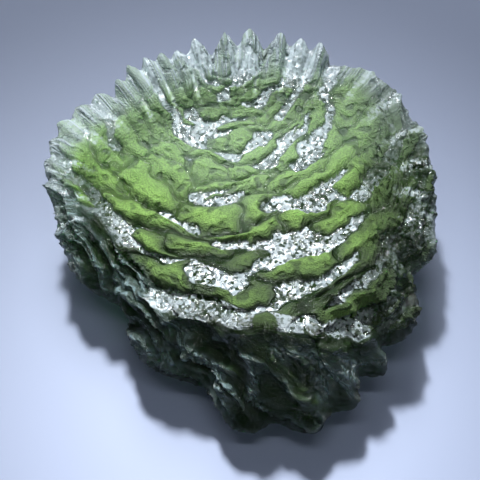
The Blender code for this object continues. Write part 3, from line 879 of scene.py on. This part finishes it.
def etching_tree():
    """Geometry nodes that etch a surface with fine wrinkles, all but its flat spot."""
    tree = bpy.data.node_groups.new("etching", "GeometryNodeTree")
    sockets = (
        ("Geometry", "INPUT", "NodeSocketGeometry"),
        ("Depth", "INPUT", "NodeSocketFloat"),
        ("Wrinkle Size", "INPUT", "NodeSocketFloat"),
        ("Seed", "INPUT", "NodeSocketFloat"),
        ("Glass", "INPUT", "NodeSocketMaterial"),
        ("Geometry", "OUTPUT", "NodeSocketGeometry"),
    )
    for name, way, kind in sockets:
        tree.interface.new_socket(name, in_out=way, socket_type=kind)
    maker = NodeMaker(tree)
    source = tree.nodes.new("NodeGroupInput")
    given = {socket.name: Field(maker, socket) for socket in source.outputs if socket.name}
    place = maker.node("GeometryNodeInputPosition")
    grain = maker.node("GeometryNodeInputNamedAttribute", {"data_type": "FLOAT_VECTOR"}, {"Name": "grain"})
    normal = maker.node("GeometryNodeInputNormal")
    finer = maker.node("ShaderNodeMath", {"operation": "DIVIDE"}, {0: 1.0, 1: given["Wrinkle Size"]})
    scaled = maker.vector("SCALE", grain, scale=finer)
    wrinkle = maker.node(
        "ShaderNodeTexNoise",
        {"noise_dimensions": "4D", "noise_type": "RIDGED_MULTIFRACTAL", "normalize": True},
        {
            "Vector": scaled,
            "W": given["Seed"],
            "Scale": 1.0,
            "Detail": ETCH_DETAIL,
            "Roughness": ETCH_ROUGHNESS,
        },
    )
    softly = {"interpolation_type": "SMOOTHSTEP"}
    ridge = maker.share(wrinkle, RIDGE_RANGE, softly)
    up = maker.node("ShaderNodeSeparateXYZ", None, {0: place}, "Z")
    clear_of_base = maker.share(up, CLEAR_OF_BASE, softly)
    corded = maker.node("GeometryNodeInputNamedAttribute", {"data_type": "FLOAT"}, {"Name": "corded"})
    rise = (ridge - RIDGE_EVEN_SHARE) * given["Depth"] * (1.0 + CORDED_DEPTH * corded) * clear_of_base
    offset = maker.vector("SCALE", normal, scale=rise)
    moved = maker.node("GeometryNodeSetPosition", None, {"Geometry": given["Geometry"], "Offset": offset})
    realized = maker.node("GeometryNodeRealizeInstances", None, {0: moved})
    glazed = maker.node(
        "GeometryNodeSetMaterial", None, {"Geometry": realized, "Material": given["Glass"]}
    )
    target = tree.nodes.new("NodeGroupOutput")
    tree.links.new(glazed.socket, target.inputs["Geometry"])
    return tree


def etch(item, sizes, glass):
    """Etches the object's mesh and keeps the result as its own plain mesh."""
    tree = etching_tree()
    modifier = item.modifiers.new("etching", "NODES")
    modifier.node_group = tree
    values = {
        "Depth": sizes.etch_depth,
        "Wrinkle Size": sizes.etch_size,
        "Seed": float(sizes.seed),
        "Glass": glass,
    }
    for socket in tree.interface.items_tree:
        if socket.in_out == "INPUT" and socket.name in values:
            modifier[socket.identifier] = values[socket.name]
    graph = bpy.context.evaluated_depsgraph_get()
    etched = bpy.data.meshes.new_from_object(item.evaluated_get(graph))
    item.modifiers.remove(modifier)
    item.data = etched


def glass_colour(maker, looks, shares, patterns):
    """Colour of the surface: green with painted light on the crests, a painted sheen on cords, a pale rim
    with painted glow, and painted glints on facets of the floors.
    """
    streaks, speckle, creases, patches, painted_glints = patterns
    pale_glass_and_glint_colour = (*looks.pale_glass_and_glint_colour, 1.0)
    # Painted light on the crests, less where creases hold painted shade
    lit = shares["crest"] * (LIT_EVENLY + LIT_STREAKS * streaks + LIT_SPECKLE * speckle)
    lit = lit * (1.0 - CREASE_SHADE * creases)
    # Painted bluish-grey sheen on the crests of the cords
    corded = shares["cord_crest"] * (CORD_SHEEN[0] + CORD_SHEEN[1] * streaks)
    # Pale thin glass with painted glow, and painted highlight streaks on it
    thin = shares["thin"] * (THIN_TINT_AND_GLOW[0] + THIN_TINT_AND_GLOW[1] * streaks)
    # Dark glass green, standing as painted shade, passing to the lit green of painted light
    colour = maker.tint(patches * PATCH_TINT + lit, (*looks.deep_glass_and_shade_colour, 1.0), (*looks.lit_colour, 1.0))
    colour = maker.tint(corded, colour, (*looks.cord_sheen_colour, 1.0))
    # Pale glass and painted glow where thin, and a painted pale sheen up the face
    colour = maker.tint(thin + PALE_SHEEN * shares["pale"], colour, pale_glass_and_glint_colour)
    # Painted glints on facets of the bare floors
    return maker.tint(shares["floor"] * painted_glints * looks.glint_paint, colour, pale_glass_and_glint_colour)


def glass_normal(maker, looks, shares, facets, surface):
    """Normal of the surface: floors are level, small facets tilt their own way, and grain lies over both."""
    floor, thin, matte = shares["floor"], shares["thin"], shares["matte"]
    amount = (TILT_EVENLY + TILT_ON_FLOORS * floor) * (1.0 - matte) * looks.facet_tilt
    centred = maker.vector("SUBTRACT", facets, (0.5, 0.5, 0.5))
    tilt = maker.vector("SCALE", centred, scale=amount)
    own = maker.node("ShaderNodeNewGeometry", None, None, "Normal")
    level = floor * (LEVEL_FLOORS - LEVEL_LESS_IF_THIN * thin)
    upright = {"Factor": level, "A": own, "B": (0.0, 0.0, 1.0)}
    levelled = maker.node("ShaderNodeMix", {"data_type": "VECTOR"}, upright, 1)
    facing = maker.vector("NORMALIZE", maker.vector("ADD", levelled, tilt))
    bump = {"Strength": 1.0, "Distance": looks.grain_depth, "Height": surface, "Normal": facing}
    return maker.node("ShaderNodeBump", None, bump)


def green_glass(looks):
    """Etched green glass: see-through, glossy on bare floors, silky on cords, pale at thin rims, with painted
    light, shade, sheen and glints in its colour.
    """
    material = bpy.data.materials.new("green_glass")
    material.use_nodes = True
    tree = material.node_tree
    tree.nodes.clear()
    maker = NodeMaker(tree)
    shares = {
        name: maker.node("ShaderNodeAttribute", {"attribute_name": name}, None, "Fac")
        for name in ("floor", "thin", "crest", "cord_crest", "matte", "corded", "pale")
    }
    place = maker.node("ShaderNodeTexCoord", None, None, "Object")
    run = maker.node("ShaderNodeAttribute", {"attribute_name": "grain"}, None, "Vector")
    wrinkles = maker.noise(run, *WRINKLES, ridged=True)
    dimples = maker.noise(place, *DIMPLES)
    patches = maker.noise(place, *PATCHES)
    creases = maker.share(maker.noise(place, *CREASES, ridged=True), CREASE_RANGE)
    streaks = maker.share(wrinkles, STREAK_RANGE)
    speckle = maker.share(dimples, SPECKLE_RANGE)
    facet_look = {"Vector": place, "Scale": FACETS_PER_METRE}
    facets = maker.node("ShaderNodeTexVoronoi", {"feature": "F1"}, facet_look, "Color")
    # A facet's chance to carry a painted glint
    chance = maker.node("ShaderNodeSeparateXYZ", None, {0: facets}, "Z")
    chance = chance + GLINT_PAINT_BY_PATCH * patches + GLINT_PAINT_BY_FLOOR * shares["floor"]
    painted_glints = maker.share(chance, GLINT_PAINT_RANGE)

    colour = glass_colour(maker, looks, shares, (streaks, speckle, creases, patches, painted_glints))
    surface = wrinkles * (GRAIN_EVENLY + GRAIN_ON_CORDS * shares["corded"] + GRAIN_ON_THIN * shares["thin"])
    surface = surface + dimples * DIMPLE_HEIGHT - CREASE_HEIGHT * creases
    surface = surface * (1.0 - GRAIN_LOSS_ON_FLOORS * shares["floor"])
    roughness = BARE_ROUGHNESS + MATTE_ROUGHNESS * shares["matte"] + CORD_ROUGHNESS * shares["cord_crest"]
    shader = maker.node(
        "ShaderNodeBsdfPrincipled",
        None,
        {
            "Base Color": colour,
            "Roughness": roughness,
            "IOR": looks.ior,
            "Transmission Weight": looks.clearness,
            "Normal": glass_normal(maker, looks, shares, facets, surface),
        },
    )
    depth = {"Color": (*looks.depth_colour, 1.0), "Density": looks.depth_density}
    absorption = maker.node("ShaderNodeVolumeAbsorption", None, depth)
    target = tree.nodes.new("ShaderNodeOutputMaterial")
    tree.links.new(shader.socket, target.inputs["Surface"])
    tree.links.new(absorption.socket, target.inputs["Volume"])
    return material


def build_stone(sizes, looks):
    """The dressed stone, in place of the frame's plain one."""
    points, faces, carried = stone_surface(sizes)
    mesh = bpy.data.meshes.new("sculpted_stone")
    mesh.from_pydata(points.tolist(), [], faces.tolist())
    for name, values in carried.items():
        kind, key = ("FLOAT", "value") if values.ndim == 1 else ("FLOAT_VECTOR", "vector")
        mesh.attributes.new(name, kind, "POINT").data.foreach_set(key, values.ravel())
    stone = bpy.data.objects.new("sculpted_stone", mesh)
    bpy.context.scene.collection.objects.link(stone)
    etch(stone, sizes, green_glass(looks))
    stone.data.shade_smooth()
    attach(stone, "root")
    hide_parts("stone")


def plain_material(name, colour, roughness):
    """A material of one colour."""
    material = bpy.data.materials.new(name)
    material.use_nodes = True
    shader = material.node_tree.nodes["Principled BSDF"]
    shader.inputs["Base Color"].default_value = (*colour, 1.0)
    shader.inputs["Roughness"].default_value = roughness
    return material


def aim(name, data, place, target):
    """Sets a lamp or camera at a place, turned to its target."""
    item = bpy.data.objects.new(name, data)
    item.location = place
    item.rotation_euler = (Vector(target) - Vector(place)).to_track_quat("-Z", "Y").to_euler()
    bpy.context.scene.collection.objects.link(item)
    return item


def build_floor(stage):
    """The floor that the stone stands on."""
    half = stage.floor_width / 2
    corners = [(-half, -half, 0.0), (half, -half, 0.0), (half, half, 0.0), (-half, half, 0.0)]
    mesh = bpy.data.meshes.new("floor")
    mesh.from_pydata(corners, [], [(0, 1, 2, 3)])
    mesh.materials.append(plain_material("pale_floor", stage.floor_colour, FLOOR_ROUGHNESS))
    floor = bpy.data.objects.new("floor", mesh)
    bpy.context.scene.collection.objects.link(floor)


def build_lights(stage):
    """A spot from behind, three lamps round the stone, and faint light from all sides."""
    key = bpy.data.lights.new("back_key", "SPOT")
    key.energy = stage.key_power
    key.color = KEY_COLOUR
    key.shadow_soft_size = KEY_RADIUS
    key.spot_size = stage.key_spread
    key.spot_blend = KEY_SOFT_EDGE
    aim("back_key", key, KEY_PLACE, KEY_TARGET)
    powers = (stage.glow_power, stage.fill_power, stage.strip_power)
    for power, (name, place, colour, width, depth) in zip(powers, LAMPS):
        lamp = bpy.data.lights.new(name, "AREA")
        lamp.shape = "RECTANGLE" if depth else "DISK"
        lamp.size = width
        lamp.size_y = depth or width
        lamp.energy = power
        lamp.color = colour
        aim(name, lamp, place, LAMP_TARGET)
    world = bpy.data.worlds.new("studio")
    world.use_nodes = True
    background = world.node_tree.nodes["Background"]
    background.inputs["Color"].default_value = (*stage.world_colour, 1.0)
    background.inputs["Strength"].default_value = stage.world_strength
    bpy.context.scene.world = world
    bpy.context.scene.view_settings.view_transform = "Standard"


def build_camera(stage):
    """The camera, as far away as the width that its picture shows asks for."""
    lens = bpy.data.cameras.new("camera")
    lens.lens = stage.camera_lens
    lens.clip_start = NEAREST_SEEN
    distance = stage.picture_width * stage.camera_lens / lens.sensor_width
    away = Vector((0.0, -math.cos(stage.camera_elevation), math.sin(stage.camera_elevation)))
    target = Vector(stage.camera_target)
    bpy.context.scene.camera = aim("camera", lens, target + away * distance, target)


class StoneSizes(bpy.types.PropertyGroup):
    """Sizes of the stone's forms"""

    mesh_edges: IntProperty(
        name="Mesh edges", description="Edges along a side of the starting icosahedron", default=99, min=10
    )
    bar_length: FloatProperty(
        name="Bar length", description="Length of a curved bar", default=0.0060, unit="LENGTH"
    )
    bar_width: FloatProperty(
        name="Bar width", description="Width of a curved bar", default=0.0011, unit="LENGTH"
    )
    bar_height: FloatProperty(
        name="Bar height", description="Height of a bar over its gaps", default=0.00105, unit="LENGTH"
    )
    ledge_depth: FloatProperty(
        name="Ledge depth", description="Depth of the ledge across the front", default=0.0009, unit="LENGTH"
    )
    fold_height: FloatProperty(
        name="Fold height", description="Height of the folds of the front", default=0.0011, unit="LENGTH"
    )
    cord_height: FloatProperty(
        name="Cord height", description="Height of the twisted cords", default=0.0016, unit="LENGTH"
    )
    etch_depth: FloatProperty(
        name="Etch depth", description="Depth of the fine wrinkles", default=0.00014, unit="LENGTH"
    )
    etch_size: FloatProperty(
        name="Etch size", description="Width of the fine wrinkles", default=0.0006, unit="LENGTH"
    )
    seed: IntProperty(name="Seed", description="Seed of the fine wrinkles", default=3)


class GlassLooks(bpy.types.PropertyGroup):
    """Colours and finish of the glass"""

    # Dark green of the glass, which also stands as painted shade in the gaps between the bars and at the
    # right
    deep_glass_and_shade_colour: FloatVectorProperty(
        name="Deep colour",
        description="Surface tint in the hollows",
        default=(0.009, 0.027, 0.008),
        subtype="COLOR",
    )
    # Green of the bars where painted light falls on their crests
    lit_colour: FloatVectorProperty(
        name="Lit colour", description="Surface tint on the bars", default=(0.41, 0.72, 0.15), subtype="COLOR"
    )
    # Painted bluish-grey sheen on the crests of the cords
    cord_sheen_colour: FloatVectorProperty(
        name="Cord colour",
        description="Tint of the twisted cords",
        default=(0.30, 0.43, 0.44),
        subtype="COLOR",
    )
    # Pale tint of thin glass with painted glow; also the colour of painted highlights, sheen and glints
    pale_glass_and_glint_colour: FloatVectorProperty(
        name="Rim colour",
        description="Tint of the thin rim and teeth",
        default=(0.82, 0.94, 1.0),
        subtype="COLOR",
    )
    depth_colour: FloatVectorProperty(
        name="Depth colour",
        description="Colour that light takes on inside",
        default=(0.38, 0.72, 0.16),
        subtype="COLOR",
    )
    depth_density: FloatProperty(
        name="Depth density", description="How fast light takes on the depth colour, per metre", default=320.0
    )
    clearness: FloatProperty(
        name="Clearness", description="Share of light that goes through", default=0.62, subtype="FACTOR"
    )
    ior: FloatProperty(name="IOR", description="Refractive index of the glass", default=1.49)
    facet_tilt: FloatProperty(
        name="Facet tilt", description="How far the facets of the bare floors tilt", default=0.50
    )
    # How pale the painted glints on the floors' facets are
    glint_paint: FloatProperty(
        name="Glint_painting", description="How pale the frosted facets are", default=0.60, subtype="FACTOR"
    )
    grain_depth: FloatProperty(
        name="Grain depth", description="Depth of the finest grain", default=0.00035, unit="LENGTH"
    )


class StageSettings(bpy.types.PropertyGroup):
    """Floor, lights and camera"""

    floor_width: FloatProperty(
        name="Floor width", description="Side of the floor", default=1.2, unit="LENGTH"
    )
    floor_colour: FloatVectorProperty(
        name="Floor colour", description="Colour of the floor", default=(0.20, 0.235, 0.33), subtype="COLOR"
    )
    key_power: FloatProperty(name="Key power", description="Light from behind", default=12.5, unit="POWER")
    key_spread: FloatProperty(
        name="Key spread",
        description="Angle of the light from behind",
        default=math.radians(10.5),
        subtype="ANGLE",
    )
    glow_power: FloatProperty(
        name="Glow power", description="Broad light from behind", default=0.7, unit="POWER"
    )
    fill_power: FloatProperty(
        name="Fill power", description="Light from the front", default=0.26, unit="POWER"
    )
    strip_power: FloatProperty(name="Strip power", description="Light from above", default=0.28, unit="POWER")
    world_colour: FloatVectorProperty(
        name="Surroundings",
        description="Colour of the surrounding light",
        default=(0.75, 0.82, 1.0),
        subtype="COLOR",
    )
    world_strength: FloatProperty(
        name="Surrounding strength", description="Strength of the surrounding light", default=0.10
    )
    camera_lens: FloatProperty(
        name="Camera lens", description="Focal length in millimetres", default=135.0
    )
    camera_elevation: FloatProperty(
        name="Camera elevation",
        description="Angle of the camera above the floor",
        default=math.radians(55.0),
        subtype="ANGLE",
    )
    camera_target: FloatVectorProperty(
        name="Camera target",
        description="Point that the camera looks at",
        default=(0.0, -0.0002, 0.008),
        subtype="XYZ",
    )
    picture_width: FloatProperty(
        name="Picture width",
        description="Width that the picture shows at the target",
        default=0.0456,
        unit="LENGTH",
    )


class MOLDAVITE_OT_make_stone(bpy.types.Operator):
    """Make the sculpted stone"""

    bl_idname = "moldavite.make_stone"
    bl_label = "Make stone"

    def execute(self, context):
        build_stone(context.scene.moldavite_sizes, context.scene.moldavite_looks)
        return {"FINISHED"}


class MOLDAVITE_OT_make_stage(bpy.types.Operator):
    """Make the floor, the lights and the camera"""

    bl_idname = "moldavite.make_stage"
    bl_label = "Make stage"

    def execute(self, context):
        stage = context.scene.moldavite_stage
        build_floor(stage)
        build_lights(stage)
        build_camera(stage)
        return {"FINISHED"}


class MOLDAVITE_PT_panel(bpy.types.Panel):
    """Lists the stone's settings and both operators"""

    bl_label = "Moldavite"
    bl_space_type = "VIEW_3D"
    bl_region_type = "UI"
    bl_category = "Moldavite"

    def draw(self, context):
        scene = context.scene
        for group in (scene.moldavite_sizes, scene.moldavite_looks, scene.moldavite_stage):
            for name in group.__annotations__:
                self.layout.prop(group, name)
        self.layout.operator(MOLDAVITE_OT_make_stone.bl_idname)
        self.layout.operator(MOLDAVITE_OT_make_stage.bl_idname)


CLASSES = (
    StoneSizes,
    GlassLooks,
    StageSettings,
    MOLDAVITE_OT_make_stone,
    MOLDAVITE_OT_make_stage,
    MOLDAVITE_PT_panel,
)


def register():
    for kind in CLASSES:
        bpy.utils.register_class(kind)
    bpy.types.Scene.moldavite_sizes = PointerProperty(type=StoneSizes)
    bpy.types.Scene.moldavite_looks = PointerProperty(type=GlassLooks)
    bpy.types.Scene.moldavite_stage = PointerProperty(type=StageSettings)


def unregister():
    del bpy.types.Scene.moldavite_sizes
    del bpy.types.Scene.moldavite_looks
    del bpy.types.Scene.moldavite_stage
    for kind in reversed(CLASSES):
        bpy.utils.unregister_class(kind)


def main():
    """Makes the stone and its stage."""
    register()
    bpy.ops.moldavite.make_stone()
    bpy.ops.moldavite.make_stage()


if __name__ == "__main__":
    main()
